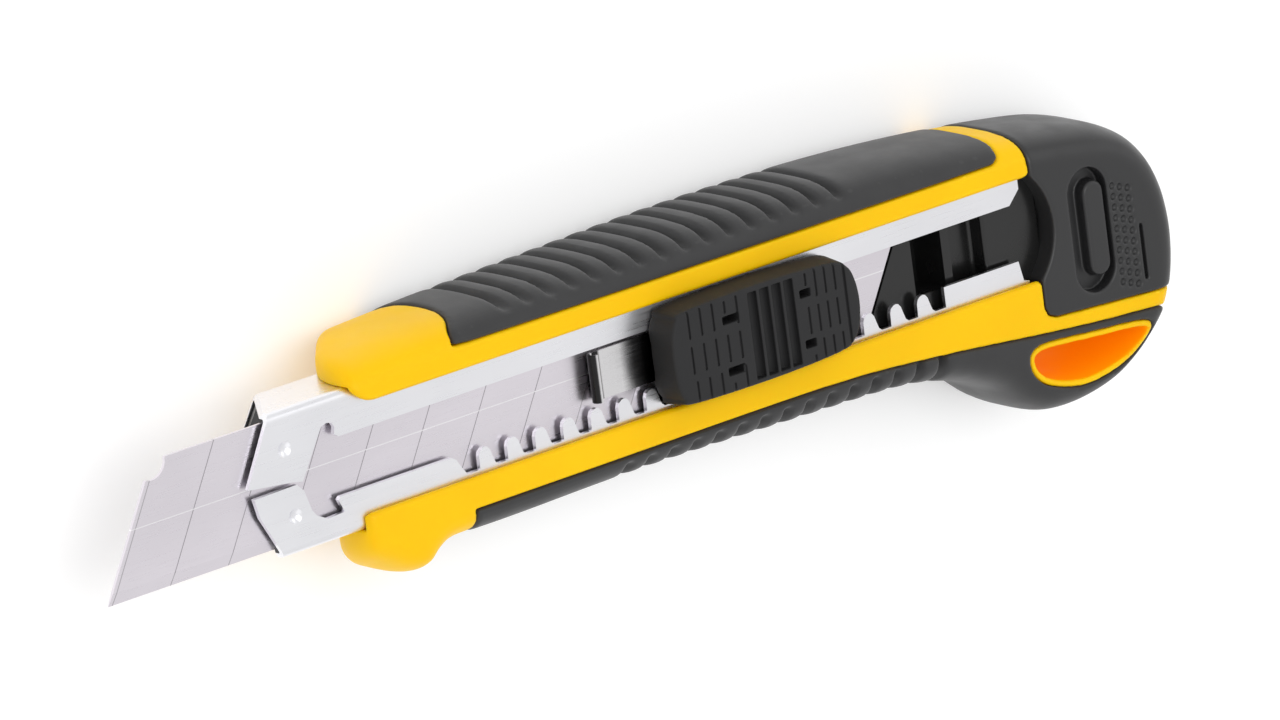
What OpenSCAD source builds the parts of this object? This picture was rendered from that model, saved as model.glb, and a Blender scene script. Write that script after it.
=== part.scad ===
// Auto-loading utility knife for 18 mm snap-off blades.
// The knife lies on its back: +X runs from the blade tip to the end cap, +Y towards the spine,
// +Z out of the face that carries the slider. The model is drawn from the nose of the channel
// (x = 0) and the channel's centre line (y = 0), then placed with its origin at the centre of
// its footprint.

/* [Blade] */
// Length of a whole blade
blade_l = 100; // [80:1:110]
// Width of a blade, from its edge to its back
blade_w = 18; // [16:0.5:18]
// Thickness of a blade
blade_t = 0.5; // [0.4:0.05:0.5]
// Length of one snap-off segment
segment_l = 10; // [8:1:12]
// Angle of the blade's ends and score lines to its edge, in degrees
slant = 60; // [55:1:65]
// Distance from the channel's nose to the blade's front end, on the centre line
blade_out = 20; // [10:5:25]
// Distance from the blade's rear end to its drive hole
hole_from_tail = 10; // [8:0.5:12]
// Number of spare blades in the magazine
spare_count = 5; // [1:1:5]

/* [Channel] */
// Outside height of the folded steel channel
channel_h = 20.6; // [20.4:0.1:21]
// Outside depth of the channel
channel_d = 11; // [10.5:0.1:12]
// Sheet thickness of the channel
sheet = 0.7; // [0.5:0.05:0.8]
// Length of the channel
channel_l = 139.8; // [138:0.2:140.4]
// Distance between teeth on the lower lip
tooth_pitch = 5; // [5:0.5:5]
// Number of teeth
tooth_count = 17; // [10:1:18]
// Middle of the first tooth
tooth_start = 40.1; // [39:0.1:42]

/* [Handle] */
// Thickness of the handle
handle_t = 22; // [22:0.5:26]
// Half the height of the window that shows the channel's lips
window_h = 7.7; // [7.2:0.1:8]
// How far the rounding of the handle's rim reaches inwards
rim_xy = 5.5; // [4:0.5:6]
// Thickness of the soft grip
grip_t = 2.2; // [1.5:0.1:3]
// Distance between the grip's ribs
rib_pitch = 4; // [3.5:0.1:4.2]
// Height of the lips' outer face above the surface that the knife lies on
lip_z = 20.5; // [20:0.1:20.8]

/* [Slider] */
// Length of the slider's button
button_l = 34.1; // [30:0.1:36]
// Width of the button
button_w = 14; // [12:0.5:14.4]
// Height of the button above the lips
button_h = 5.5; // [4:0.5:6]
// Front end of the button
button_x = 70.6; // [70:0.1:71]

/* [Hidden] */
$fn = 48;

gap = 0.05;                              // running clearance inside the channel
eps = 0.1;                               // overshoot of a cut past a face
inner_y = channel_h / 2 - sheet;         // inside face of the channel's walls
floor_z = lip_z - channel_d + sheet;     // inside face of the channel's back
lip_in_z = lip_z - sheet;                // inside face of the lips
upper_lip_y = 4.1;                       // free edge of the upper lip
lower_lip_y = -4.3;                      // free edge of the lower lip, and the tooth tops
valley_y = -7.3;                         // bottom of the gaps between the teeth
apex_x = -0.6;                           // foremost point of the channel
lean = 1 / tan(slant);                   // shift in x per mm of y along a blade's end

base_t = 0.6;                            // plate of the slider that runs under the lips
blade_z = lip_in_z - 2 * gap - base_t - blade_t;
spare_pitch = blade_t + gap;
spare_x = 15;                            // front end of the spare blades on the centre line
follower_t = 1;
follower_z = blade_z - spare_count * spare_pitch - gap - follower_t;
tray_t = 0.7;
spring_z = floor_z + gap + tray_t + gap;
pin_x = blade_l - blade_out - hole_from_tail;
pin_r = 1.25;
blade_hole_r = 1.5;
neck_w = 7.4;                            // part of the slider that stands between the lips
neck_x = 76.5;
tongue_x = 127.6;                        // front end of the end cap's tongue
cap_x = 141;                             // joint between the handle and its end cap

// Points of a Catmull-Rom curve through the control points p
function curve_point(a, b, c, d, t) =
    0.5 * (2 * b + (c - a) * t + (2 * a - 5 * b + 4 * c - d) * t * t
    + (3 * b - a - 3 * c + d) * t * t * t);
function smooth_curve(p, n) = concat([
    for (i = [0 : len(p) - 2], k = [0 : n - 1])
        curve_point(p[max(i - 1, 0)], p[i], p[i + 1], p[min(i + 2, len(p) - 1)], k / n)
], [p[len(p) - 1]]);

// Side outline of the handle, in design coordinates: the spine from the nose to the rear,
// then the belly back to the finger guard and the nose
spine = [[10, 13.6], [17, 13.9], [26, 14.4], [40, 15.1], [60, 15.8], [84, 16.4], [104, 16.3],
    [120, 15.7], [135, 14.5], [148, 12.9], [156, 11.4], [161.5, 8.9], [165, 5.2], [167.2, 0.6],
    [168.2, -4.5], [168.2, -9.5], [167.3, -14.5]];
belly = [[165.6, -18.6], [162.8, -21.8], [159, -24.8], [154, -27.3], [147.5, -28.6], [141.5, -28.4],
    [137.5, -26.5], [133, -22.9], [128, -20.4], [122, -18.7], [114, -17.6], [94, -17],
    [68, -16.4], [45, -16.7], [36, -16.7], [33, -16.9], [31.3, -17.7], [29.6, -19.1], [27.2, -19.7],
    [24.4, -19.1], [20.6, -17], [16, -14.3], [10, -11]];
outline = smooth_curve(concat(spine, belly), 2);

// The footprint's centre becomes the origin
tip_x = -blade_out - blade_w / 2 * lean;
end_x = max([for (p = outline) p[0]]);
top_y = max([for (p = outline) p[1]]);
low_y = min([for (p = outline) p[1]]);
place = [-(tip_x + end_x) / 2, -(top_y + low_y) / 2, 0];

yellow = [1, 0.78, 0];
soft_black = [0.2, 0.2, 0.2];
hard_black = [0.13, 0.13, 0.13];
bright_steel = [0.86, 0.86, 0.88];
blade_steel = [0.8, 0.79, 0.82];
spring_steel = [0.45, 0.44, 0.45];

module box(x0, x1, y0, y1, z0, z1) {
    translate([x0, y0, z0]) cube([x1 - x0, y1 - y0, z1 - z0]);
}

module prism(points, z0, z1) {
    translate([0, 0, z0]) linear_extrude(z1 - z0) polygon(points);
}

// The whole handle as one rounded solid, moved in by inset all over
module handle_form(inset) {
    core_t = 0.4;
    facets = 20;
    // a sphere of this many facets ends in a small flat instead of a pole
    flat_end = cos(180 / facets);
    translate([0, 0, handle_t / 2])
        minkowski() {
            linear_extrude(core_t, center = true) offset(delta = -rim_xy) polygon(outline);
            scale([rim_xy - inset, rim_xy - inset, (handle_t / 2 - core_t / 2 - inset) / flat_end])
                sphere(1, $fn = facets);
        }
}

// Regions of the handle seen from the side. shrink pulls a border in to leave a fine joint line.
module top_region(shrink) {
    x0 = 36.2 + shrink;
    x1 = 136.6 - shrink;
    y0 = 11.3 + shrink;
    difference() {
        prism([[x0, y0], [x1 - 2, y0], [x1, y0 + 1.6], [x1 + 1.2, 25], [x0, 25]], -eps, handle_t + eps);
        // round tongue of the handle's plastic that reaches back along the spine
        translate([36.2, 12.6, handle_t / 2]) rotate([-90, 0, 0]) scale([3.4 + shrink, 8.5 + shrink, 1])
            cylinder(h = 13, r = 1);
    }
}

module bottom_region(shrink) {
    border = smooth_curve([[36, -12.4], [100, -12.4], [120, -13.6], [140, -15.6], [160, -17.4],
        [175, -18.6]], 3);
    low = [for (p = border) [p[0] + (p[0] < 37 ? shrink : 0), p[1] - shrink]];
    prism(concat([[38.6 + shrink, -40]], low, [[175, -40]]), -eps, handle_t + eps);
}

module cap_region(shrink) {
    x0 = cap_x + shrink;
    prism([[x0, 25], [x0, -11.7], [x0 + 2, -13.7 + shrink], [175, -16.2 + shrink], [175, 25]],
        -eps, handle_t + eps);
}

// Room in front of the nose, whose flat front rakes back behind the channel
module nose_front() {
    front_x = 17.8;
    rake_z = lip_z - 6.5;
    translate([0, 40, 0]) rotate([90, 0, 0]) linear_extrude(80)
        polygon([[0, handle_t + eps], [front_x + 1.2, handle_t + eps], [front_x, handle_t - 1.2],
            [front_x, rake_z], [front_x + 0.8 * rake_z, -eps], [0, -eps]]);
}

// Grooves between the grip's ribs. side is 1 along the spine and -1 along the belly.
module grooves(first_x, count, curve, side) {
    groove_w = 2;
    groove_d = 0.9;
    for (i = [0 : count - 1]) {
        x = first_x + i * rib_pitch;
        y = lookup(x, curve) - side * groove_d;
        box(x, x + groove_w, min(y, y + 5 * side), max(y, y + 5 * side), -eps, handle_t + eps);
    }
}

// Lanyard opening: a leaf shape with a nearly straight upper edge
module lanyard_shape(z0, z1, grow) {
    x0 = 138.5 - grow;
    x1 = 159.6 + grow;
    leaf = smooth_curve([[x0, -19.6], [x0 + 1.8, -17.9 + grow], [150, -18.7 + grow],
        [x1 - 2, -19.5 + grow], [x1, -20.4], [155, -22.9 - grow], [147.5, -24.1 - grow],
        [141, -22.6 - grow], [x0, -19.6]], 3);
    prism([for (i = [1 : len(leaf) - 1]) leaf[i]], z0, z1);
}

// Rounded rectangle in the YZ plane, extruded along X
module tube_form(half_y, z0, z1, r, x0, x1) {
    translate([x0, 0, 0]) rotate([90, 0, 90]) linear_extrude(x1 - x0) {
        translate([-half_y + r, z0]) square([2 * half_y - 2 * r, z1 - z0]);
        translate([-half_y, z0 + r]) square([2 * half_y, z1 - z0 - 2 * r]);
        for (y = [-half_y + r, half_y - r], z = [z0 + r, z1 - r])
            translate([y, z]) circle(r);
    }
}

module handle_body() {
    ring = 0.9;
    color(yellow) difference() {
        union() {
            difference() {
                handle_form(0);
                top_region(0);
                bottom_region(0);
                cap_region(0);
            }
            difference() {
                handle_form(grip_t);
                cap_region(0);
            }
            intersection() {
                handle_form(0.3);
                lanyard_shape(-eps, handle_t + eps, ring);
            }
        }
        box(0, cap_x + eps, -channel_h / 2 - gap, channel_h / 2 + gap,
            lip_z - channel_d - gap, lip_z + gap);
        prism([[0, -window_h], [cap_x + eps, -window_h], [cap_x + eps, window_h], [21.5, window_h],
            [19.2, 8.4], [17.8, 9.7], [0, 9.7]], lip_z, handle_t + eps);
        nose_front();
        lanyard_shape(-eps, handle_t + eps, 0);
    }
}

module grip_top() {
    color(soft_black) difference() {
        intersection() {
            handle_form(0);
            top_region(0.04);
        }
        handle_form(grip_t - 0.03);
        grooves(46, 16, spine, 1);
    }
}

module grip_bottom() {
    color(soft_black) difference() {
        intersection() {
            handle_form(0);
            bottom_region(0.04);
        }
        handle_form(grip_t - 0.03);
        grooves(64, 15, belly, -1);
        lanyard_shape(-1, handle_t + 1, 0.95);
    }
}

module end_cap() {
    ridge_x = 151.2;
    ridge_y = -2.9;
    recess_r = 3.6;
    recess_d = 2.1;
    dot_r = 0.4;
    color(hard_black) {
        difference() {
            intersection() {
                handle_form(0);
                cap_region(0.06);
            }
            // scoop in the front edge, which the slider's rear end can enter
            translate([133.6, 0, lip_z - 5]) cylinder(h = 9, r = 10.7);
            // recess round the thumb ridge
            box(ridge_x - recess_r, ridge_x + recess_r, ridge_y - 5.6, ridge_y + 5.6,
                handle_t - recess_d, handle_t + eps);
            for (y = [ridge_y - 5.6, ridge_y + 5.6])
                translate([ridge_x, y, handle_t - recess_d]) cylinder(h = 3, r = recess_r);
            for (row = [0 : 9], col = [0 : 2])
                translate([155.9 + col * 1.4, 2.4 - row * 1.6 - col * 0.5, handle_t - 0.6])
                    cylinder(h = 2, r = dot_r);
            // hollow that lightens the moulding behind the channel
            box(cap_x - eps, 160, -9, 9, 4, lip_z - channel_d - 1);
        }
        box(ridge_x - 0.7, ridge_x + 2.9, ridge_y - 6.8, ridge_y + 6.8, handle_t - recess_d, handle_t);
        box(tongue_x, cap_x + 2, -inner_y + 0.2, inner_y - 0.2, floor_z + 0.2, blade_z + blade_t);
    }
}

// Opening between the lips: the gap in the nose, the slot for the slider and the teeth
module lip_opening() {
    tooth = [[2, valley_y], [1.5, -6.9], [1.15, -5.9], [0.85, -4.95], [0.45, -4.45],
        [0, lower_lip_y], [-0.45, -4.4], [-0.95, -4.75], [-1.2, -5.4], [-1.25, valley_y]];
    last_x = tooth_start + (tooth_count - 1) * tooth_pitch + 4;
    upper_edge = [[-2, 0.95], [apex_x, 0.85], [7, -0.1], [8.7, -0.45], [12.5, 5.5], [13, 6.2],
        [13.9, 6.5], [14.8, 6.3], [15.2, 5.6], [15, 4.6], [15.7, upper_lip_y],
        [channel_l - 2, upper_lip_y], [channel_l + 1, upper_lip_y + 3]];
    rear_edge = [[channel_l + 1, valley_y - 0.5], [channel_l - 1, valley_y],
        [channel_l - 1.6, lower_lip_y], [last_x, lower_lip_y], [last_x, valley_y]];
    teeth = [for (i = [tooth_count - 1 : -1 : 0], p = tooth) p + [tooth_start + i * tooth_pitch, 0]];
    lower_edge = [[36.6, valley_y], [35.6, -5.9], [35, -4.8], [34.2, lower_lip_y],
        [14.6, lower_lip_y], [14.2, -4.7], [15, -6.6], [12, -6.75], [10.3, -5.8], [9.6, -4.9],
        [8.7, -1.8], [7.6, -0.6], [0.2, -0.7], [-2, -0.7]];
    prism(concat(upper_edge, rear_edge, teeth, lower_edge), lip_in_z - eps, lip_z + eps);
}

// Room in front of the channel's slanted nose
module nose_slant(z0, z1) {
    half_h = channel_h / 2;
    prism([[-8, half_h + eps], [-8, -half_h - eps], [4.2, -half_h - eps], [0.8, -3.6], [0.2, -0.7],
        [-0.1, 0.1], [apex_x, 0.9], [4.2, 9.7], [4.9, half_h + eps]], z0, z1);
}

// Room in front of the channel's walls and back, which rake back below the lips
module nose_rake(behind) {
    translate([behind, 0, lip_z - 3]) rotate([0, -33, 0]) nose_slant(-channel_d - 3, 0);
}

module blade_channel() {
    half_h = channel_h / 2;
    back_z = lip_z - channel_d;
    color(bright_steel) difference() {
        tube_form(half_h, back_z, lip_z, 1.2, apex_x, channel_l);
        tube_form(inner_y, floor_z, lip_in_z, 0.5, apex_x - eps, channel_l + eps);
        lip_opening();
        nose_slant(back_z - eps, lip_z + eps);
        nose_rake(0);
        // dimples that stiffen the flaps
        for (p = [[6.4, 4.8], [6.7, -4.9]])
            translate([p[0], p[1], lip_z + 1.15]) sphere(1.6);
    }
}

module nose_block() {
    half = inner_y - 0.3;
    rear = spare_x - 0.4;
    color(hard_black) {
        difference() {
            prism([[7.5, -half], [rear - half * lean, -half], [rear + half * lean, half], [8.2, half],
                [3.6, 0.8], [3.6, 0]], floor_z + gap, blade_z - gap);
            nose_rake(0.4);
        }
        for (side = [-1, 1])
            box(8.2, 13, side > 0 ? blade_w / 2 + 0.1 : -half, side > 0 ? half : -blade_w / 2 - 0.1,
                blade_z - 2 * gap, lip_in_z - gap);
    }
}

module magazine_tray() {
    half = inner_y - 0.3;
    rear = spare_x + blade_l + 0.5;
    front = spare_x - 0.2;
    color(hard_black) {
        prism([[front - half * lean, -half], [tongue_x - gap, -half], [tongue_x - gap, half],
            [front + half * lean, half]], floor_z + gap, floor_z + gap + tray_t);
        // end stop behind the spare blades, with a hollow middle
        difference() {
            prism([[rear - half * lean, -half], [tongue_x - gap, -half], [tongue_x - gap, half],
                [rear + half * lean, half]], floor_z + gap, blade_z - gap);
            prism([[rear + 5, -5], [tongue_x - 1.5, -5], [tongue_x - 1.5, 6], [rear + 5, 6]],
                floor_z + 2, blade_z);
        }
    }
}

// Leaf spring: a flat middle with two legs that rise to the follower
module magazine_spring() {
    leaf = 0.3;
    rise = follower_z - gap - spring_z - leaf;
    mid = spare_x + blade_l / 2;
    foot = 8;
    leg = 22;
    color(spring_steel)
        translate([mid, 3.5, spring_z]) rotate([90, 0, 0]) linear_extrude(7)
            polygon([[-foot, 0], [foot, 0], [foot + leg, rise], [foot + leg + 4, rise],
                [foot + leg + 4, rise + leaf], [foot + leg, rise + leaf], [foot, leaf],
                [-foot, leaf], [-foot - leg, rise + leaf], [-foot - leg - 4, rise + leaf],
                [-foot - leg - 4, rise], [-foot - leg, rise]]);
}

module magazine_follower() {
    color(hard_black)
        prism([[spare_x + 6 - 8 * lean, -8], [spare_x + blade_l - 6 - 8 * lean, -8],
            [spare_x + blade_l - 6 + 8 * lean, 8], [spare_x + 6 + 8 * lean, 8]],
            follower_z, follower_z + follower_t);
}

// One blade: a slanted bar with a ground edge, scored segments and a drive hole near its rear end.
// front is the place of its front end on the centre line, and z0 the height of its back face.
module snap_blade(front, z0) {
    half = blade_w / 2;
    bevel = 1.6;
    score = 0.04;
    score_w = 0.12;
    first_l = segment_l + 0.6;
    top_z = z0 + blade_t;
    difference() {
        prism([[front - half * lean, -half], [front + blade_l - half * lean, -half],
            [front + blade_l + half * lean, half], [front + half * lean, half]], z0, top_z);
        // ground edge on both faces
        for (face = [0, 1])
            translate([front - 20, -half, z0 + blade_t / 2]) mirror([0, 0, face])
                rotate([90, 0, 90]) linear_extrude(blade_l + 40)
                    polygon([[-eps, 0.04], [bevel, blade_t / 2], [bevel, blade_t], [-eps, blade_t]]);
        // score lines across the near face, and one along it
        for (i = [0 : blade_l / segment_l - 4])
            translate([front + first_l + i * segment_l, 0, 0])
                prism([[-half * lean, -half], [score_w - half * lean, -half],
                    [score_w + half * lean, half], [half * lean, half]], top_z - score, top_z + eps);
        box(front - 1, front + blade_l - 16, 0.35, 0.35 + score_w, top_z - score, top_z + eps);
        // end of the groove where the last segment broke off
        translate([front + 4.8, half - 0.1, z0 - eps]) cylinder(h = 1, r = 2.6);
        translate([front + blade_l - hole_from_tail, 0, z0 - eps])
            cylinder(h = 1, r = blade_hole_r);
    }
}

module spare_blade(number) {
    color(blade_steel) snap_blade(spare_x, blade_z - number * spare_pitch);
}

module cutting_blade() {
    color(blade_steel) snap_blade(-blade_out, blade_z);
}

// Places of the windows in the button, and of the hooks in them
hook_places = [[81.4, 3.6, 3], [81.4, -3.9, 3], [95, 3.6, 2], [95, -3.8, 2]];

// One layer of the button: its plan, half as wide as half, from z0 to z1
module button_layer(half, z0, z1) {
    mid = button_x + button_l / 2;
    rear = button_x + button_l;
    side = [[button_x + 0.9, 6], [button_x + 2.6, half - 0.2], [mid, half], [rear - 3.5, half - 0.6],
        [rear - 0.9, 4.8], [rear, 2]];
    prism(concat([[button_x, -4], [button_x, 4]], side, [for (i = [5 : -1 : 0]) [side[i][0], -side[i][1]]]),
        z0, z1);
}

module slider_button() {
    top_z = lip_z + button_h;
    z0 = lip_z + 0.15;
    color(hard_black) difference() {
        union() {
            button_layer(button_w / 2, z0, top_z);
            button_layer(button_w / 2 + 0.45, z0, lip_z + 2.2);
        }
        // deep flutes across the middle
        for (i = [0 : 3])
            translate([85.6 + i * 2.2, 0, top_z]) rotate([90, 0, 0])
                cylinder(h = button_w - 1.6, r = 0.8, center = true);
        // long groove near the rear end
        box(102, 102.5, -5.9, 6.2, top_z - 0.4, top_z + eps);
        // rows of short grooves on both pads
        for (pad = [[73.7, 2.2, 4], [95.1, 1.75, 3]], i = [0 : pad[2]], row = [-1 : 1])
            translate([pad[0] + i * pad[1], 5.1 * row - 0.5, top_z - 0.3])
                translate([0, -1.8, 0]) cube([0.35, 3.6, 1]);
        for (p = hook_places)
            box(p[0] - p[2] / 2, p[0] + p[2] / 2, p[1] - 0.6, p[1] + 0.6, z0 - eps, top_z + eps);
    }
}

module slider_base() {
    color(hard_black) {
        box(72, 103, -inner_y + 0.3, inner_y - 0.3, blade_z + blade_t + gap, lip_in_z - gap);
        box(neck_x, 102, -neck_w / 2, neck_w / 2, lip_in_z - 0.2, lip_z + 0.15);
    }
}

// Hooks of the base that clip into the button's windows
module slider_hooks() {
    color(hard_black)
        for (p = hook_places)
            box(p[0] - p[2] / 2 + 0.3, p[0] + p[2] / 2 - 0.3, p[1] - 0.35, p[1] + 0.35,
                lip_z + 0.15, lip_z + button_h - 2.5);
}

// Leaf with a curled front end and a pawl that sits between two teeth
module slider_spring() {
    leaf = 0.35;
    z0 = lip_in_z;
    front = 60.6;
    pawl_x = tooth_start + 6.5 * tooth_pitch;
    color(spring_steel) {
        box(front, neck_x - gap, -3.5, 3.5, z0, z0 + leaf);
        translate([front, 0, z0 + 1]) rotate([90, 0, 0]) difference() {
            cylinder(h = 7, r = 1, center = true);
            cylinder(h = 8, r = 1 - leaf, center = true);
            translate([0, -2, -4]) cube([2, 4, 8]);
        }
        box(pawl_x - 0.9, pawl_x + 0.9, valley_y + 0.5, -3.4, z0, z0 + leaf);
    }
}

module blade_pin() {
    color(spring_steel)
        translate([pin_x, 0, blade_z + 0.02]) cylinder(h = lip_in_z - blade_z - 0.02, r = pin_r);
}

translate(place) handle_body();
translate(place) grip_top();
translate(place) grip_bottom();
translate(place) end_cap();
translate(place) blade_channel();
translate(place) nose_block();
translate(place) magazine_tray();
translate(place) magazine_spring();
translate(place) magazine_follower();
translate(place) spare_blade(1);  // spare_blade_1
translate(place) spare_blade(2);  // spare_blade_2
translate(place) spare_blade(3);  // spare_blade_3
translate(place) spare_blade(4);  // spare_blade_4
translate(place) spare_blade(5);  // spare_blade_5
translate(place) cutting_blade();
translate(place) slider_button();
translate(place) slider_base();
translate(place) slider_hooks();
translate(place) slider_spring();
translate(place) blade_pin();
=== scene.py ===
"""Looks of the auto-loading utility knife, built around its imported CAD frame.

Soft and moulded parts (handle, grips, end cap, slider button) are modelled as distance fields:
a field is negative inside a part, so parts are combined, rounded and ribbed with plain formulas,
and one function turns each field into a mesh. The steel and the inner plastic parts stay the CAD
nodes, with finer materials and softened edges.

Fields are worked out in millimetres from the nose of the channel (x), its centre line (y) and the
surface that the knife lies on (z). mesh_object() turns that into the frame's metres.
"""
import math
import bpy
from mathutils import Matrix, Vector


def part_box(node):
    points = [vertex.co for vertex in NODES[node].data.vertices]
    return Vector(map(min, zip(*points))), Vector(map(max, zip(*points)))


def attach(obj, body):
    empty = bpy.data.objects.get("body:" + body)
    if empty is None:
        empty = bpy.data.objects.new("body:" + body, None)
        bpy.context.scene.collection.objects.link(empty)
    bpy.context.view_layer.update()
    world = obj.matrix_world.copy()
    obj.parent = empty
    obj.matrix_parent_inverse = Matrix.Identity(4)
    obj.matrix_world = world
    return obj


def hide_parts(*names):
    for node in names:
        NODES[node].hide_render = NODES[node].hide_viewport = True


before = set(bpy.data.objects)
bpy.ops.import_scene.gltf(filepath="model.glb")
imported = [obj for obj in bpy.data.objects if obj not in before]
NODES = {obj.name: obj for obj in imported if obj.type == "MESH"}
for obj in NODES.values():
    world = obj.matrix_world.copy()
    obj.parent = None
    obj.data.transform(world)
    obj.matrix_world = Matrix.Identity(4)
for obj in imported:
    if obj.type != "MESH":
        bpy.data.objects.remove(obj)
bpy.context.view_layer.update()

from types import SimpleNamespace

import bpy
import numpy as np
from mathutils import Matrix, Vector

MM = 0.001

# ---------------------------------------------------------------- places taken from the frame

channel_lo, channel_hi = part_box("blade_channel")
button_lo, button_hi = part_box("slider_button")
NOSE_X = channel_lo.x + 0.6 * MM                 # where x = 0, just behind the channel's apex
CENTRE_Y = (channel_lo.y + channel_hi.y) / 2


def to_mm(x=0.0, y=0.0, z=0.0):
    """A place in the frame, in millimetres from the channel's nose, centre line and the rest."""
    return (x - NOSE_X) / MM, (y - CENTRE_Y) / MM, z / MM


HANDLE_T = to_mm(z=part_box("handle_body")[1].z)[2]    # thickness of the handle
LIP_Z = HANDLE_T - 1.5                           # outer face of the channel's lips
CHANNEL_H = (channel_hi.y - channel_lo.y) / MM
CHANNEL_D = (channel_hi.z - channel_lo.z) / MM
BUTTON_X0, BUTTON_Y1, BUTTON_Z1 = to_mm(button_lo.x, button_hi.y, button_hi.z)
BUTTON_X1 = to_mm(x=button_hi.x)[0]
WINDOW = 7.7                                     # half the height of the window over the lips
FRONT_X = 17.8                                   # flat front of the handle
CAP_X = 141.0                                    # joint between the handle and its end cap
RIM = 5.5                                        # how far the rounded rim reaches inwards
RIM_POWER = 3                                    # superellipse of the rim: 2 would be an ellipse
GRIP_T = 2.6                                     # thickness of the soft grips
GRIP_X = 36.2                                    # front end of the upper grip
GRIP_GAP = 0.12                                  # between a grip and the plastic around it
GRIP_EDGE = 0.55                                 # rounding of a grip's border
LANYARD_RIM = 0.95                               # width of the yellow rim of the lanyard opening
BLADE_L, BLADE_H = 100 * MM, 18 * MM             # a snap-off blade, in metres
SEGMENT, FIRST_SEGMENT = 10 * MM, 10.6 * MM      # between its score lines, and up to the first one
BLADE_SLANT = math.radians(60)                   # score lines and ends against the blade's length

# Side outline of the handle: the spine to the rear, then the belly back to the nose
OUTLINE = [(10, 13.6), (17, 13.9), (26, 14.4), (40, 15.1), (60, 15.8), (84, 16.4), (104, 16.3),
           (120, 15.7), (135, 14.5), (148, 12.9), (156, 11.4), (161.5, 8.9), (165, 5.2),
           (167.2, 0.6), (168.2, -4.5), (168.2, -9.5), (167.3, -14.5), (165.6, -18.6),
           (162.8, -21.8), (159, -24.8), (154, -27.3), (147.5, -28.6), (141.5, -28.4),
           (137.5, -26.5), (133, -22.9), (128, -20.4), (122, -18.7), (114, -17.6), (94, -17),
           (68, -16.4), (45, -16.7), (36, -16.7), (33, -16.9), (31.3, -17.7), (29.6, -19.1),
           (27.2, -19.7), (24.4, -19.1), (20.6, -17), (16, -14.3), (10, -11)]


# ---------------------------------------------------------------- distance fields

def spline(points, steps, closed=False):
    """Catmull-Rom curve through the points, with that many steps from each to the next."""
    p = np.array(points, float)
    n = len(p)
    out = []
    for i in range(n if closed else n - 1):
        a, b, c, d = (p[(i + k) % n] if closed else p[min(max(i + k, 0), n - 1)] for k in (-1, 0, 1, 2))
        for t in np.arange(steps) / steps:
            out.append(0.5 * (2 * b + (c - a) * t + (2 * a - 5 * b + 4 * c - d) * t ** 2
                              + (3 * b - a - 3 * c + d) * t ** 3))
    return np.array(out if closed else out + [p[-1]])


def polygon_distance(points, x, y):
    """Signed distance from places (x, y) to a closed polygon, negative inside."""
    best = np.full(np.broadcast(x, y).shape, 1e9)
    inside = np.zeros(best.shape, bool)
    for (ax, ay), (bx, by) in zip(points, np.roll(points, -1, axis=0)):
        ex, ey = bx - ax, by - ay
        t = np.clip(((x - ax) * ex + (y - ay) * ey) / (ex * ex + ey * ey + 1e-12), 0, 1)
        best = np.minimum(best, (x - ax - t * ex) ** 2 + (y - ay - t * ey) ** 2)
        if ay != by:
            inside ^= ((ay > y) != (by > y)) & (x < (bx - ax) * (y - ay) / (by - ay) + ax)
    return np.where(inside, -1, 1) * np.sqrt(best)


def join(a, b, r=0.0):
    """Union, with a fillet of about radius r."""
    if r <= 0:
        return np.minimum(a, b)
    h = np.clip(0.5 + 0.5 * (b - a) / r, 0, 1)
    return b + (a - b) * h - r * h * (1 - h)


def cut(a, b, r=0.0):
    """a without b, with an edge rounded by about r."""
    return -join(-a, b, r)


def meet(a, b, r=0.0):
    """What a and b share, with an edge rounded by about r."""
    return -join(-a, -b, r)


def slab(v, lo, hi):
    """Room where v is between lo and hi."""
    return np.maximum(lo - v, v - hi)


def rounded_box(g, lo, hi, r):
    """Box from lo to hi with edges rounded by r."""
    q = [np.abs(v - (a + b) / 2) - ((b - a) / 2 - r) for v, a, b in zip((g.x, g.y, g.z), lo, hi)]
    outside = np.sqrt(sum(np.maximum(v, 0) ** 2 for v in q))
    return outside + np.minimum(np.maximum(np.maximum(q[0], q[1]), q[2]), 0) - r


class Grid:
    """Places on a regular grid over a box, as broadcastable x, y and z."""

    def __init__(self, lo, hi, step):
        self.lo = np.array(lo, float)
        self.step = step
        self.n = [int(math.ceil((b - a) / step)) + 1 for a, b in zip(lo, hi)]
        axes = [a + step * np.arange(n) for a, n in zip(lo, self.n)]
        self.x = axes[0][:, None, None]
        self.y = axes[1][None, :, None]
        self.z = axes[2][None, None, :]


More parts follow.
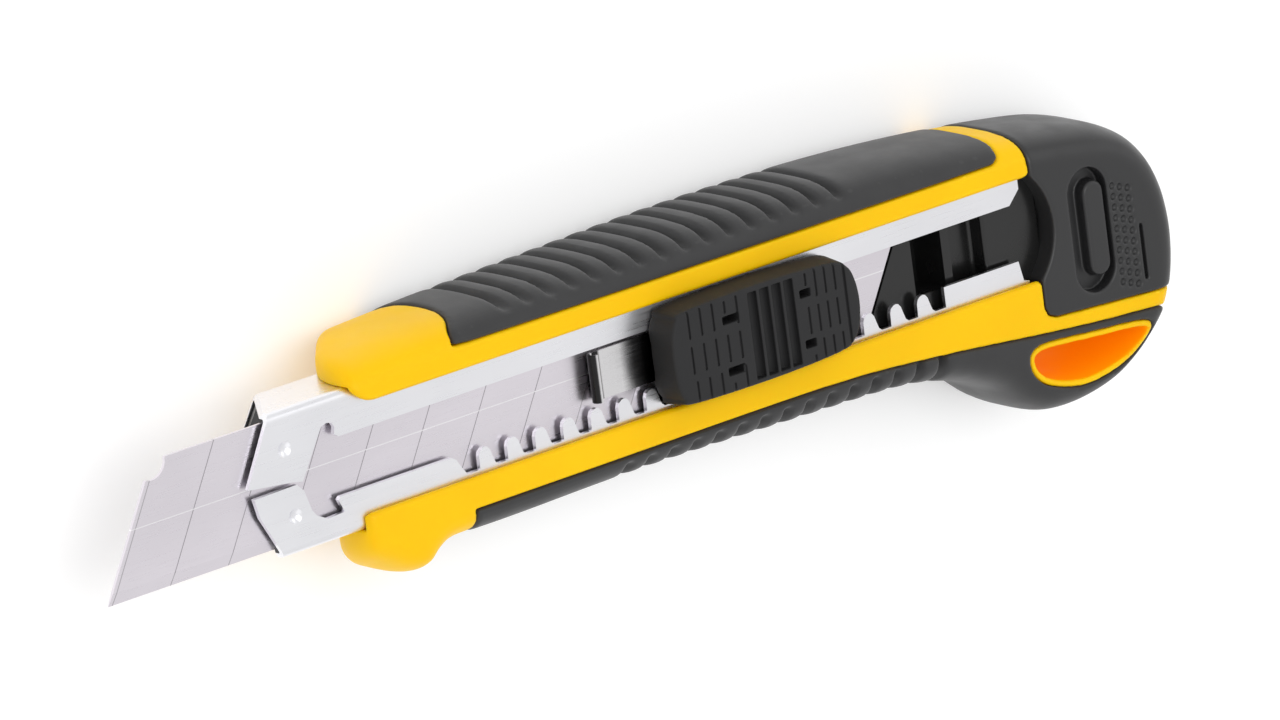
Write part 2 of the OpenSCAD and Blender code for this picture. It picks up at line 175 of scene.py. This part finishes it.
def field_mesh(name, grid, field, keep=1.0):
    """Surface nets: one vertex in each cell that the surface crosses, one quad for each edge.

    keep is the share of the faces that stay when flat stretches are thinned out.
    """
    f = np.ascontiguousarray(np.broadcast_to(field, grid.n)).astype(np.float32)
    neg = f < 0
    n = np.array(f.shape) - 1
    total = np.zeros(n, np.int8)
    corners = [(i, j, k) for i in (0, 1) for j in (0, 1) for k in (0, 1)]
    for i, j, k in corners:
        total += neg[i:n[0] + i, j:n[1] + j, k:n[2] + k]
    cells = np.argwhere((total > 0) & (total < 8))
    values = np.stack([f[cells[:, 0] + i, cells[:, 1] + j, cells[:, 2] + k] for i, j, k in corners], 1)
    place = np.zeros((len(cells), 3))
    count = np.zeros(len(cells))
    for a in range(8):
        for b in range(a + 1, 8):
            ca, cb = np.array(corners[a]), np.array(corners[b])
            if np.abs(ca - cb).sum() != 1:
                continue
            va, vb = values[:, a], values[:, b]
            crossed = (va < 0) != (vb < 0)
            t = np.where(crossed, va / np.where(crossed, va - vb, 1), 0)
            place += np.where(crossed[:, None], ca + t[:, None] * (cb - ca), 0)
            count += crossed
    place = grid.lo + (cells + place / count[:, None]) * grid.step
    index = np.full(n, -1, np.int32)
    index[tuple(cells.T)] = np.arange(len(cells))
    faces = []
    for axis in range(3):
        u, v = (axis + 1) % 3, (axis + 2) % 3
        first = np.take(neg, range(0, n[axis]), axis)
        second = np.take(neg, range(1, n[axis] + 1), axis)
        edge = np.argwhere(first != second)
        edge = edge[(edge[:, u] > 0) & (edge[:, v] > 0) & (edge[:, u] < n[u]) & (edge[:, v] < n[v])]
        flip = ~first[tuple(edge.T)]
        ring = []
        for du, dv in ((-1, -1), (0, -1), (0, 0), (-1, 0)):
            c = edge.copy()
            c[:, u] += du
            c[:, v] += dv
            ring.append(index[tuple(c.T)])
        quad = np.stack(ring, 1)
        quad[flip] = quad[flip][:, ::-1]
        faces.append(quad)
    faces = np.concatenate(faces)
    faces = faces[(faces >= 0).all(1)]
    return mesh_object(name, place, faces, keep)


def mesh_object(name, points_mm, faces, keep):
    """A smooth mesh of quads, moved from the fields' millimetres to the frame's metres."""
    mesh = bpy.data.meshes.new(name)
    points = np.asarray(points_mm, float) * MM + np.array([NOSE_X, CENTRE_Y, 0])
    mesh.vertices.add(len(points))
    mesh.vertices.foreach_set("co", points.astype(np.float32).ravel())
    mesh.loops.add(faces.size)
    mesh.loops.foreach_set("vertex_index", faces.ravel().astype(np.int32))
    mesh.polygons.add(len(faces))
    mesh.polygons.foreach_set("loop_start", np.arange(0, faces.size, 4, dtype=np.int32))
    mesh.polygons.foreach_set("use_smooth", np.ones(len(faces), bool))
    mesh.update(calc_edges=True)
    piece = bpy.data.objects.new(name, mesh)
    bpy.context.scene.collection.objects.link(piece)
    if keep < 1:
        thin = piece.modifiers.new("thin", "DECIMATE")
        thin.ratio = keep
        bake_modifiers(piece)
    return piece


def bake_modifiers(piece):
    """Makes what the modifiers do part of the mesh."""
    graph = bpy.context.evaluated_depsgraph_get()
    baked = bpy.data.meshes.new_from_object(piece.evaluated_get(graph))
    piece.modifiers.clear()
    piece.data = baked
    baked.polygons.foreach_set("use_smooth", np.ones(len(baked.polygons), bool))


# ---------------------------------------------------------------- the handle's shape

OUTLINE_CURVE = spline(OUTLINE, 6, closed=True)
FINE = 0.34              # grid step of the handle's fields


def handle_form(g, inset=0.0):
    """The whole handle as one solid with superelliptic rims, moved in by inset."""
    half = HANDLE_T / 2
    within = 0.1                                 # keeps the curve inside the CAD's polygon
    reach = np.maximum(polygon_distance(OUTLINE_CURVE, g.x, g.y) + RIM + within, 0) / (RIM - inset)
    high = np.abs(g.z - half) / (half - inset)
    level = (reach ** RIM_POWER + high ** RIM_POWER) ** (1 / RIM_POWER)
    # level is 1 on the surface; dividing by its slope gives a distance
    safe = np.maximum(level, 0.05)
    slope = np.sqrt(((reach / safe) ** (RIM_POWER - 1) / (RIM - inset)) ** 2
                    + ((high / safe) ** (RIM_POWER - 1) / (half - inset)) ** 2)
    return (level - 1) / np.maximum(slope, 1 / half)


def behind_nose(g):
    """Room behind the handle's front, which is flat and then rakes back behind the channel."""
    rake = 0.8                                   # step back for each step down
    rake_z = LIP_Z - 6.5                         # height where the rake starts
    flat = FRONT_X - g.x
    slant = (FRONT_X + rake * (rake_z - g.z) - g.x) / math.hypot(1, rake)
    return meet(flat, slant, 3)


def top_region(g):
    """Where the upper grip lies, seen from the side."""
    corners = [(GRIP_X, 11.3), (134.9, 11.0), (136.2, 11.6), (136.9, 13.2), (138.6, 24), (GRIP_X, 24)]
    region = polygon_distance(np.array(corners), g.x, g.y)
    # round tongue of the handle's plastic that reaches back along the spine
    length, half_width, shoulder_y = 3.4, 8.5, 12.6
    level = np.sqrt(((g.x - GRIP_X) / length) ** 2 + ((g.z - HANDLE_T / 2) / half_width) ** 2)
    return cut(region, np.maximum((level - 1) * length, shoulder_y - g.y), 1.6)


def bottom_region(g):
    """Where the lower grip lies, which swells down to the rear lobe."""
    border = spline([(36.4, -12.3), (60, -12.3), (100, -12.3), (120, -13.5), (140, -15.6),
                     (152, -16.7), (162, -17.4), (164.6, -18.4)], 4)
    return polygon_distance(np.vstack([border, [(173, -26), (173, -40), (39.5, -40)]]), g.x, g.y)


def cap_region(g):
    """Where the end cap lies, behind its joint and above the lobe."""
    corners = [(CAP_X, 26), (CAP_X, -11.9), (CAP_X + 0.6, -13.2), (CAP_X + 2, -13.8),
               (176, -15.9), (176, 26)]
    return polygon_distance(np.array(corners), g.x, g.y)


def lanyard_region(g):
    """The leaf-shaped opening for a lanyard."""
    leaf = spline([(138.3, -20), (139.6, -18), (150, -18.7), (158, -19.4), (159.6, -20.5),
                   (155, -22.9), (147.5, -24.1), (141, -22.6)], 5, closed=True)
    return polygon_distance(leaf, g.x, g.y)


def make_handle():
    """The yellow body: skin between the grips, core below them and rim of the lanyard opening."""
    g = Grid((14, -31, -1), (171, 18, HANDLE_T + 1), FINE)
    nose_edge = 2.2
    form = meet(handle_form(g, 0.15), behind_nose(g), nose_edge)
    skin = cut(form, join(top_region(g), bottom_region(g)), 0.5)
    core = meet(handle_form(g, GRIP_T), behind_nose(g), nose_edge)
    rim = meet(handle_form(g, 0.2), lanyard_region(g) - LANYARD_RIM, 0.3)
    body = cut(join(join(skin, core), rim), cap_region(g), 0.4)
    half = CHANNEL_H / 2
    pocket = np.maximum(slab(g.y, -half, half), slab(g.z, LIP_Z - CHANNEL_D - 0.1, LIP_Z + 0.02))
    pocket = np.maximum(pocket, g.x - (CAP_X + 2))
    # the window's upper front corner is wide and round
    flare = 2.2 * np.clip((22 - g.x) / 4, 0, 1) ** 2
    window = np.maximum(slab(g.y, -WINDOW, WINDOW + flare), LIP_Z - 1 - g.z)
    body = cut(body, pocket, 0.2)
    body = cut(body, window, 0.9)
    body = cut(body, lanyard_region(g), 0.5)
    return field_mesh("handle_shell", g, body, 0.4)


def rib_valleys(x, first, pitch, count):
    """1 in the narrow valleys, 0 on the round crests and outside the ribbed stretch."""
    phase = (x - first) / pitch + 0.5
    away = 1 - 2 * np.abs(phase - np.floor(phase) - 0.5)
    crest = 1 - np.sqrt(np.clip(1 - away ** 2, 0, 1))
    groove = np.clip((away - 0.5) / 0.45, 0, 1)
    depth = 0.4 * crest + 0.6 * groove ** 2 * (3 - 2 * groove)
    return depth * ((phase > 0) & (phase < count))


def ribbed_grip(g, region, valleys, beyond):
    """A soft grip over region. beyond is how far past their shoulder the valleys are, and they
    reach their full depth 1 mm past it.
    """
    across = np.clip(beyond, 0, 1)
    form = handle_form(g) + valleys * across * (2 - across)
    grip = meet(form, region + GRIP_GAP, GRIP_EDGE)
    return cut(grip, handle_form(g, GRIP_T + 0.1))


def make_grip_top():
    """Spine grip; its valleys stop a little above its lower border."""
    g = Grid((28, 7, -1), (141, 18, HANDLE_T + 1), FINE)
    valleys = 1.9 * rib_valleys(g.x, first=47.1, pitch=4.0, count=16)
    return field_mesh("grip_spine", g, ribbed_grip(g, top_region(g), valleys, g.y - 13.4), 0.6)


def make_grip_bottom():
    """Belly grip, open around the rim of the lanyard opening."""
    g = Grid((34, -31, -1), (171, -10, HANDLE_T + 1), FINE)
    valleys = 2.1 * rib_valleys(g.x, first=64.1, pitch=4.1, count=15)
    grip = ribbed_grip(g, bottom_region(g), valleys, -13.2 - g.y)
    grip = cut(grip, lanyard_region(g) - (LANYARD_RIM + 0.1), 0.4)
    return field_mesh("grip_belly", g, grip, 0.6)


def pill(g, x, y, half_length, radius):
    """Distance in plan to a bar with round ends that lies along Y."""
    reach = np.maximum(np.abs(g.y - y) - half_length, 0)
    return np.sqrt((g.x - x) ** 2 + reach ** 2) - radius


def make_cap():
    """End cap, with a thumb ridge in a recess and a field of dimples beside it."""
    g = Grid((139, -18, -1), (170, 17, HANDLE_T + 1), FINE * 0.8)
    cap = meet(handle_form(g), cap_region(g) + 0.1, 0.5)
    # wide scoop for the thumb slider's rear end
    scoop = np.sqrt((g.x - 133.6) ** 2 + g.y ** 2) - 10.7
    scoop = np.maximum(scoop, LIP_Z - 5 - g.z)
    cap = cut(cap, scoop, 0.5)
    # recess and thumb ridge, both pill shaped
    mid_x, mid_y = 151.2, -2.9
    recess = pill(g, mid_x, mid_y, 5.6, 3.6)
    cap = cut(cap, np.maximum(recess, HANDLE_T - 2.1 - g.z), 0.5)
    ridge = pill(g, mid_x + 1.1, mid_y, 5.2, 1.9)
    cap = join(cap, meet(ridge, slab(g.z, HANDLE_T - 3, HANDLE_T - 0.1), 0.6), 0.2)
    dimple_r, pitch_x, pitch_y, lean = 0.58, 1.4, 1.6, 0.5
    for row in range(10):
        for column in range(3):
            dx = g.x - (155.9 + pitch_x * column)
            dy = g.y - (2.4 - pitch_y * row - lean * column)
            dimple = np.sqrt(dx ** 2 + dy ** 2 + (g.z - HANDLE_T) ** 2) - dimple_r
            cap = cut(cap, dimple, 0.1)
    line = rounded_box(g, (160.0, -12.8, HANDLE_T - 1.0), (160.6, -4.4, HANDLE_T + 1), 0.2)
    cap = cut(cap, line, 0.2)
    return field_mesh("cap_shell", g, cap, 0.6)


def make_tongue():
    """The cap's tongue inside the channel, with a step for the blades' tails."""
    back = LIP_Z - CHANNEL_D + 0.9
    g = Grid((127, -10, back - 0.6), (144.4, 10, LIP_Z - 1), FINE)
    tongue = rounded_box(g, (127.6, -9.4, back), (144, 9.4, LIP_Z - 1.5), 0.5)
    step = rounded_box(g, (126, -7.2, LIP_Z - 4.2), (133.4, 7.8, LIP_Z + 1), 0.4)
    return field_mesh("cap_tongue", g, cut(tongue, step, 0.3))


def button_grooves():
    """Boxes of the short grooves on both pads: (x, y) and length along Y."""
    for first, pitch, count in ((73.7, 2.2, 5), (95.1, 1.75, 4)):
        beside_window = count - 2 if first < 80 else 0
        for i in range(count):
            for row in (-1, 0, 1):
                short = row and i == beside_window
                x = first + pitch * i + (0.3 if row < 0 else 0)
                yield x, 5.1 * row - 0.5 + (0.9 * row if short else 0), 1.8 if short else 4.0


def make_button():
    """Thumb button: flutes across its middle, grooved pads at both ends and four windows."""
    g = Grid((BUTTON_X0 - 0.6, -7.6, LIP_Z - 0.4), (BUTTON_X1 + 0.6, 7.6, BUTTON_Z1 + 0.6), FINE * 0.4)
    foot = 0.45                                  # how far the button's foot is wider than its top
    half = BUTTON_Y1 - foot
    mid = (BUTTON_X0 + BUTTON_X1) / 2
    right = [(BUTTON_X0, 0), (BUTTON_X0 + 0.25, 3.4), (BUTTON_X0 + 1.2, 5.7), (BUTTON_X0 + 3, half - 0.3),
             (mid, half), (BUTTON_X1 - 4.5, half - 0.5), (BUTTON_X1 - 1.6, 5.3), (BUTTON_X1 - 0.4, 3)]
    left = [(x, -y) for x, y in reversed(right[1:])]
    plan = spline(right + [(BUTTON_X1, 0)] + left, 5, closed=True)
    top = BUTTON_Z1
    flare = foot * np.clip((top - g.z) / 4, 0, 1) * np.clip(np.abs(g.y) / 2 - 1, 0, 1)
    button = meet(polygon_distance(plan, g.x, g.y) - flare, slab(g.z, LIP_Z + 0.15, top), 0.6)
    flute_r, flute_pitch = 0.9, 2.2
    for i in range(4):
        flute_x = 85.6 + flute_pitch * i
        flute = np.sqrt((g.x - flute_x) ** 2 + (g.z - top + 0.55) ** 2) - flute_r
        button = cut(button, np.maximum(flute, np.abs(g.y) - half + 0.7), 0.3)
    rear = rounded_box(g, (102.0, -5.9, top - 0.5), (102.5, 6.2, top + 1), 0.2)
    button = cut(button, rear, 0.15)
    for x, y, length in button_grooves():
        short = rounded_box(g, (x, y - length / 2, top - 0.4), (x + 0.36, y + length / 2, top + 1), 0.1)
        button = cut(button, short, 0.1)
    for x, y, width in ((81.4, 3.6, 3), (81.4, -3.9, 3), (95, 3.6, 2), (95, -3.8, 2)):
        window = rounded_box(g, (x - width / 2, y - 0.6, top - 3), (x + width / 2, y + 0.6, top + 1), 0.15)
        button = cut(button, window, 0.12)
    return field_mesh("thumb_button", g, button)


# ---------------------------------------------------------------- materials

def new_material(name):
    """A material with its node tree and its shader."""
    material = bpy.data.materials.new(name)
    material.use_nodes = True
    tree = material.node_tree
    shader = tree.nodes["Principled BSDF"]
    return material, tree, shader


def noise(tree, scale, detail=3.0, roughness=0.5, stretch=(1, 1, 1), turn=(0, 0, 0)):
    """Noise over object space, in repeats per metre, stretched along the axes."""
    where = tree.nodes.new("ShaderNodeTexCoord")
    mapping = tree.nodes.new("ShaderNodeMapping")
    mapping.inputs["Scale"].default_value = stretch
    mapping.inputs["Rotation"].default_value = turn
    texture = tree.nodes.new("ShaderNodeTexNoise")
    texture.inputs["Scale"].default_value = scale
    texture.inputs["Detail"].default_value = detail
    texture.inputs["Roughness"].default_value = roughness
    tree.links.new(where.outputs["Object"], mapping.inputs["Vector"])
    tree.links.new(mapping.outputs["Vector"], texture.inputs["Vector"])
    return texture.outputs["Fac"]


def ramp(tree, value, low, high, start=0.3, end=0.7):
    """Maps a value between start and end to a colour or grey between low and high."""
    node = tree.nodes.new("ShaderNodeValToRGB")
    colours = [c if isinstance(c, tuple) else (c, c, c) for c in (low, high)]
    for element, position, colour in zip(node.color_ramp.elements, (start, end), colours):
        element.position = position
        element.color = (*colour, 1)
    tree.links.new(value, node.inputs["Fac"])
    return node.outputs["Color"]


def painted_cavity_shade(tree, dark):
    """Painted shade: 1 in the open and dark in tight hollows, from the mesh's pointiness."""
    geometry = tree.nodes.new("ShaderNodeNewGeometry")
    return ramp(tree, geometry.outputs["Pointiness"], dark, 1.0, 0.44, 0.49)


def edge_wear_and_highlight(tree):
    """1 on convex edges, from the mesh's pointiness; these edges are lightened partly as wear and partly
    as a painted highlight.
    """
    geometry = tree.nodes.new("ShaderNodeNewGeometry")
    return ramp(tree, geometry.outputs["Pointiness"], 0.0, 1.0, 0.61, 0.67)


def mix(tree, factor, a, b):
    """Colour between a and b; each input is a socket, a colour or a grey."""
    node = tree.nodes.new("ShaderNodeMix")
    node.data_type = "RGBA"
    for socket, value in ((node.inputs["Factor"], factor), (node.inputs["A"], a), (node.inputs["B"], b)):
        if hasattr(value, "is_output"):
            tree.links.new(value, socket)
        elif isinstance(value, tuple):
            socket.default_value = (*value, 1)
        else:
            socket.default_value = value
    return node.outputs["Result"]


def add_bump(tree, shader, height, strength, distance):
    bump = tree.nodes.new("ShaderNodeBump")
    bump.inputs["Strength"].default_value = strength
    bump.inputs["Distance"].default_value = distance
    tree.links.new(height, bump.inputs["Height"])
    tree.links.new(bump.outputs["Normal"], shader.inputs["Normal"])


def moulded_plastic(name, colour, edge_colour, roughness, grain, grain_depth):
    """Moulded plastic: slight colour drift, fine grain, and edges a little lighter, partly with wear and
    partly as a painted highlight.
    """
    material, tree, shader = new_material(name)
    darker = tuple(c * 0.93 for c in colour)
    drift = ramp(tree, noise(tree, 60, 2), darker, colour)
    # edges lighter: partly wear, partly a painted highlight
    coloured = mix(tree, edge_wear_and_highlight(tree), drift, edge_colour)
    tree.links.new(coloured, shader.inputs["Base Color"])
    tree.links.new(ramp(tree, noise(tree, 220, 3), roughness - 0.05, roughness + 0.06),
                   shader.inputs["Roughness"])
    add_bump(tree, shader, noise(tree, grain, 4, 0.6), 0.35, grain_depth)
    shader.inputs["IOR"].default_value = 1.5
    return material


def yellow_abs():
    """Light passes a little way into the yellow plastic."""
    material = moulded_plastic("yellow_abs", (0.93, 0.545, 0.0), (1.0, 0.62, 0.01),
                               roughness=0.45, grain=2600, grain_depth=2e-5)
    shader = material.node_tree.nodes["Principled BSDF"]
    shader.inputs["Specular IOR Level"].default_value = 0.15
    shader.inputs["Subsurface Weight"].default_value = 0.35
    shader.inputs["Subsurface Radius"].default_value = (0.0016, 0.0007, 0.0001)
    shader.inputs["Subsurface Scale"].default_value = 1.0
    return material


def lanyard_painted_glow():
    """Inside of the lanyard opening: painted orange shade and a painted glow, for light that passes
    through the yellow plastic and glows.
    """
    material = moulded_plastic("lanyard_painted_glow", (0.9, 0.36, 0.0), (0.95, 0.42, 0.0),
                               roughness=0.5, grain=2600, grain_depth=2e-5)
    shader = material.node_tree.nodes["Principled BSDF"]
    shader.inputs["Specular IOR Level"].default_value = 0.1
    # painted glow: the lining shines by itself
    shader.inputs["Emission Color"].default_value = (1.0, 0.34, 0.0, 1)
    shader.inputs["Emission Strength"].default_value = 0.17
    return material


def soft_rubber():
    """Matt black, with painted shade in the valleys between the ribs."""
    material = moulded_plastic("soft_rubber", (0.026, 0.026, 0.027), (0.033, 0.033, 0.034),
                               roughness=0.58, grain=3800, grain_depth=4e-5)
    tree = material.node_tree
    shader = tree.nodes["Principled BSDF"]
    base = shader.inputs["Base Color"].links[0].from_socket
    # painted shade: darkens the valleys between the ribs
    painted_valley_shade = mix(tree, 1.0, base, painted_cavity_shade(tree, 0.25))
    painted_valley_shade.node.blend_type = "MULTIPLY"
    tree.links.new(painted_valley_shade, shader.inputs["Base Color"])
    shader.inputs["Sheen Weight"].default_value = 0.12
    shader.inputs["Specular IOR Level"].default_value = 0.4
    return material


def black_plastic():
    return moulded_plastic("black_plastic", (0.018, 0.018, 0.019), (0.028, 0.028, 0.029),
                           roughness=0.4, grain=3000, grain_depth=2e-5)


def button_plastic():
    """Matt, so that the button's sides don't mirror the yellow handle."""
    material = moulded_plastic("button_plastic", (0.022, 0.022, 0.023), (0.05, 0.05, 0.051),
                               roughness=0.6, grain=3000, grain_depth=3e-5)
    material.node_tree.nodes["Principled BSDF"].inputs["Specular IOR Level"].default_value = 0.22
    return material


def gloss_black():
    return moulded_plastic("gloss_black", (0.008, 0.008, 0.008), (0.015, 0.015, 0.015),
                           roughness=0.24, grain=1500, grain_depth=1e-5)


def steel(name, colour, roughness, lines, turn=0.0, depth=4e-6):
    """Rolled or ground steel: fine parallel lines, faint stains and a roughness that varies."""
    material, tree, shader = new_material(name)
    grain = noise(tree, lines, 4, 0.65, stretch=(0.04, 1, 1), turn=(0, 0, turn))
    cloud = noise(tree, 45, 3)
    dull = tuple(c * 0.94 for c in colour)
    tree.links.new(mix(tree, ramp(tree, cloud, 0.0, 1.0), colour, dull), shader.inputs["Base Color"])
    shader.inputs["Metallic"].default_value = 1.0
    rough = ramp(tree, grain, roughness - 0.07, roughness + 0.09, 0.25, 0.75)
    tree.links.new(rough, shader.inputs["Roughness"])
    add_bump(tree, shader, grain, 0.3, depth)
    shader.inputs["Anisotropic"].default_value = 0.4
    return material


def maths(tree, operation, a, b=0.0):
    """Result of a calculation with sockets or numbers."""
    node = tree.nodes.new("ShaderNodeMath")
    node.operation = operation
    for socket, value in zip(node.inputs, (a, b)):
        if hasattr(value, "is_output"):
            tree.links.new(value, socket)
        else:
            socket.default_value = value
    return node.outputs["Value"]


def frame_axes(tree):
    """Distances along X and Y in the frame; CAD nodes keep the frame's axes as their own."""
    where = tree.nodes.new("ShaderNodeTexCoord")
    split = tree.nodes.new("ShaderNodeSeparateXYZ")
    tree.links.new(where.outputs["Object"], split.inputs["Vector"])
    return split.outputs["X"], split.outputs["Y"]


def blade_steel(name, node):
    """Ground steel with painted shade on the score lines across the blade and a painted highlight on the
    line along it.
    """
    material = steel(name, (0.775, 0.735, 0.785), 0.3, 5200, turn=BLADE_SLANT, depth=6e-6)
    tree = material.node_tree
    shader = tree.nodes["Principled BSDF"]
    base = shader.inputs["Base Color"].links[0].from_socket
    x, y = frame_axes(tree)
    _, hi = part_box(node)
    lean = 1 / math.tan(BLADE_SLANT)
    line_across, line_along = 0.18 * MM, 0.16 * MM
    first = hi.x - BLADE_L - BLADE_H / 2 * lean + FIRST_SEGMENT
    along = maths(tree, "SUBTRACT", maths(tree, "SUBTRACT", x, first),
                  maths(tree, "MULTIPLY", maths(tree, "SUBTRACT", y, CENTRE_Y), lean))
    phase = maths(tree, "FRACT", maths(tree, "DIVIDE", along, SEGMENT))
    # painted shade: the score lines across the blade are darkened
    cross = maths(tree, "LESS_THAN", phase, line_across / SEGMENT)
    base = mix(tree, maths(tree, "MULTIPLY", cross, 0.55), base, (0.22, 0.21, 0.22))
    # painted highlight: a bright line along the blade
    up = maths(tree, "SUBTRACT", y, CENTRE_Y + 0.35 * MM)
    long_line = maths(tree, "MULTIPLY", maths(tree, "GREATER_THAN", up, 0.0),
                      maths(tree, "LESS_THAN", up, line_along))
    base = mix(tree, maths(tree, "MULTIPLY", long_line, 0.6), base, (1.0, 1.0, 1.0))
    tree.links.new(base, shader.inputs["Base Color"])
    return material


def leaf_steel():
    """Spring steel with painted light and shade: painted dark reflection at its curl, bright on the leaf
    and dark again towards the slider as its painted shadow and reflection.
    """
    material = steel("leaf_steel", (0.8, 0.79, 0.8), 0.22, 3000)
    tree = material.node_tree
    shader = tree.nodes["Principled BSDF"]
    base = shader.inputs["Base Color"].links[0].from_socket
    x, _ = frame_axes(tree)
    lo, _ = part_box("slider_spring")
    leaf_length = 12 * MM
    along = maths(tree, "DIVIDE", maths(tree, "SUBTRACT", x, lo.x), leaf_length)
    # distance along the leaf and its painted brightness: dark curl and slit as painted shade and
    # reflection, bright rim as a painted highlight, leaf, and the slider's painted shadow and reflection
    shade = tree.nodes.new("ShaderNodeValToRGB")
    tree.links.new(along, shade.inputs["Fac"])
    stops = shade.color_ramp.elements
    for position, grey in ((0.05, 0.04), (0.065, 0.9), (0.09, 0.9), (0.1, 0.03), (0.18, 0.05),
                           (0.21, 0.95), (0.5, 0.95), (0.7, 0.2), (0.85, 0.03)):
        stops.new(position).color = (grey, grey, grey, 1)
    stops[0].color = (0.04, 0.04, 0.04, 1)
    stops[-1].color = (0.02, 0.02, 0.02, 1)
    # multiplies the steel by the painted light and shade along the leaf
    leaf_painted_light = mix(tree, 1.0, base, shade.outputs["Color"])
    leaf_painted_light.node.blend_type = "MULTIPLY"
    tree.links.new(leaf_painted_light, shader.inputs["Base Color"])
    return material


def give(node, material, bevel_mm=0.0):
    """A CAD node keeps its mesh and gets a finer material and, if asked, softened edges."""
    piece = NODES[node]
    if not piece.data.materials:
        piece.data.materials.append(material)
    for i in range(len(piece.data.materials)):
        piece.material_slots[i].link = "OBJECT"
        piece.material_slots[i].material = material
    if bevel_mm:
        bevel = piece.modifiers.new("softened_edges", "BEVEL")
        bevel.width = bevel_mm * MM
        bevel.segments = 2
        bevel.limit_method = "ANGLE"
        bevel.angle_limit = math.radians(35)
        bevel.harden_normals = True


def dress(piece, material, body, slot, *replaced):
    """Gives a new piece its material, the body it rides on and the CAD nodes it stands for."""
    piece.data.materials.clear()
    piece.data.materials.append(material)
    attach(piece, body)
    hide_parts(*replaced)


def line_lanyard(piece, material):
    """Gives the walls of the lanyard opening their own material, with painted shade and glow."""
    mesh = piece.data
    mesh.materials.append(material)
    centre = np.empty(3 * len(mesh.polygons))
    mesh.polygons.foreach_get("center", centre)
    x, y, z = to_mm(*centre.reshape(-1, 3).T)
    inside = (lanyard_region(SimpleNamespace(x=x, y=y)) < 0.2) & (z < HANDLE_T - 0.7)
    mesh.polygons.foreach_set("material_index", inside.astype(np.int32))
    mesh.update()


# ---------------------------------------------------------------- building

YELLOW, RUBBER, PLASTIC, GLOSS = yellow_abs(), soft_rubber(), black_plastic(), gloss_black()
CHANNEL = steel("channel_steel", (0.88, 0.88, 0.91), 0.3, 2600)
SPRING = steel("spring_steel", (0.33, 0.32, 0.33), 0.34, 3000)

handle = make_handle()
dress(handle, YELLOW, "handle", "yellow_plastic", "handle_body")
line_lanyard(handle, lanyard_painted_glow())
dress(make_grip_top(), RUBBER, "handle", "soft_grip", "grip_top")
dress(make_grip_bottom(), RUBBER, "handle", "soft_grip", "grip_bottom")
dress(make_cap(), PLASTIC, "cap", "black_plastic", "end_cap")
dress(make_tongue(), GLOSS, "cap", "black_plastic", "end_cap")
dress(make_button(), button_plastic(), "slider", "black_plastic", "slider_button")
give("blade_channel", CHANNEL, 0.08)
for node in ("nose_block", "magazine_tray", "magazine_follower", "slider_base", "slider_hooks"):
    give(node, GLOSS, 0.06)
for node in ("magazine_spring", "blade_pin"):
    give(node, SPRING, 0.04)
give("slider_spring", leaf_steel(), 0.04)
give("cutting_blade", blade_steel("blade_steel", "cutting_blade"))
SPARES = blade_steel("spare_blade_steel", "spare_blade_1")
for number in range(1, 6):
    give("spare_blade_%d" % number, SPARES)


# ---------------------------------------------------------------- studio

def area_light(name, azimuth, elevation, distance, size, power):
    """A soft square light that faces the frame's origin."""
    light = bpy.data.lights.new(name, "AREA")
    light.size = size
    light.energy = power
    lamp = bpy.data.objects.new(name, light)
    a, e = math.radians(azimuth), math.radians(elevation)
    lamp.location = Vector((math.cos(a) * math.cos(e), math.sin(a) * math.cos(e), math.sin(e))) * distance
    lamp.rotation_euler = lamp.location.to_track_quat("Z", "Y").to_euler()
    bpy.context.scene.collection.objects.link(lamp)


def make_floor():
    """Plain pale floor just below the knife, faintly bright by itself."""
    bpy.ops.mesh.primitive_grid_add(x_subdivisions=8, y_subdivisions=8, size=6)
    floor = bpy.context.object
    floor.name = "studio_floor"
    floor.location.z = -0.0002
    material, tree, shader = new_material("floor_paint")
    tree.links.new(ramp(tree, noise(tree, 3, 2), 0.78, 0.8), shader.inputs["Base Color"])
    shader.inputs["Roughness"].default_value = 0.9
    shader.inputs["Emission Color"].default_value = (1, 1, 1, 1)
    shader.inputs["Emission Strength"].default_value = 0.26
    floor.data.materials.append(material)


def make_world(strength):
    """Even white light from all around."""
    world = bpy.data.worlds.new("studio")
    world.use_nodes = True
    world.node_tree.nodes["Background"].inputs["Color"].default_value = (1, 1, 1, 1)
    world.node_tree.nodes["Background"].inputs["Strength"].default_value = strength
    bpy.context.scene.world = world
    bpy.context.scene.view_settings.view_transform = "Standard"


def make_camera(aim, azimuth, elevation, roll, distance, lens):
    """Looks at aim from the given direction; roll turns the picture about the line of sight."""
    a, e = math.radians(azimuth), math.radians(elevation)
    back = Vector((math.cos(a) * math.cos(e), math.sin(a) * math.cos(e), math.sin(e)))
    right = Vector((0, 0, 1)).cross(back).normalized()
    up = back.cross(right)
    turned = Matrix((right, up, back)).transposed() @ Matrix.Rotation(math.radians(roll), 3, "Z")
    data = bpy.data.cameras.new("studio_camera")
    data.lens = lens
    data.clip_start = 0.05
    data.clip_end = 20
    camera = bpy.data.objects.new("studio_camera", data)
    camera.matrix_world = Matrix.Translation(aim + back * distance) @ turned.to_4x4()
    bpy.context.scene.collection.objects.link(camera)
    bpy.context.scene.camera = camera


make_floor()
make_world(0.86)
area_light("key", azimuth=130, elevation=72, distance=1.3, size=0.8, power=4.6)
area_light("fill", azimuth=250, elevation=40, distance=1.5, size=1.2, power=1.2)
area_light("rim", azimuth=20, elevation=35, distance=1.4, size=0.8, power=1.2)
# the camera sees the knife from its slider side, a little from the tip and from the spine
make_camera(Vector((NOSE_X + 72.9 * MM, CENTRE_Y - 1.65 * MM, 15 * MM)), azimuth=154.92,
            elevation=50.35, roll=102.27, distance=1.821, lens=364.7)
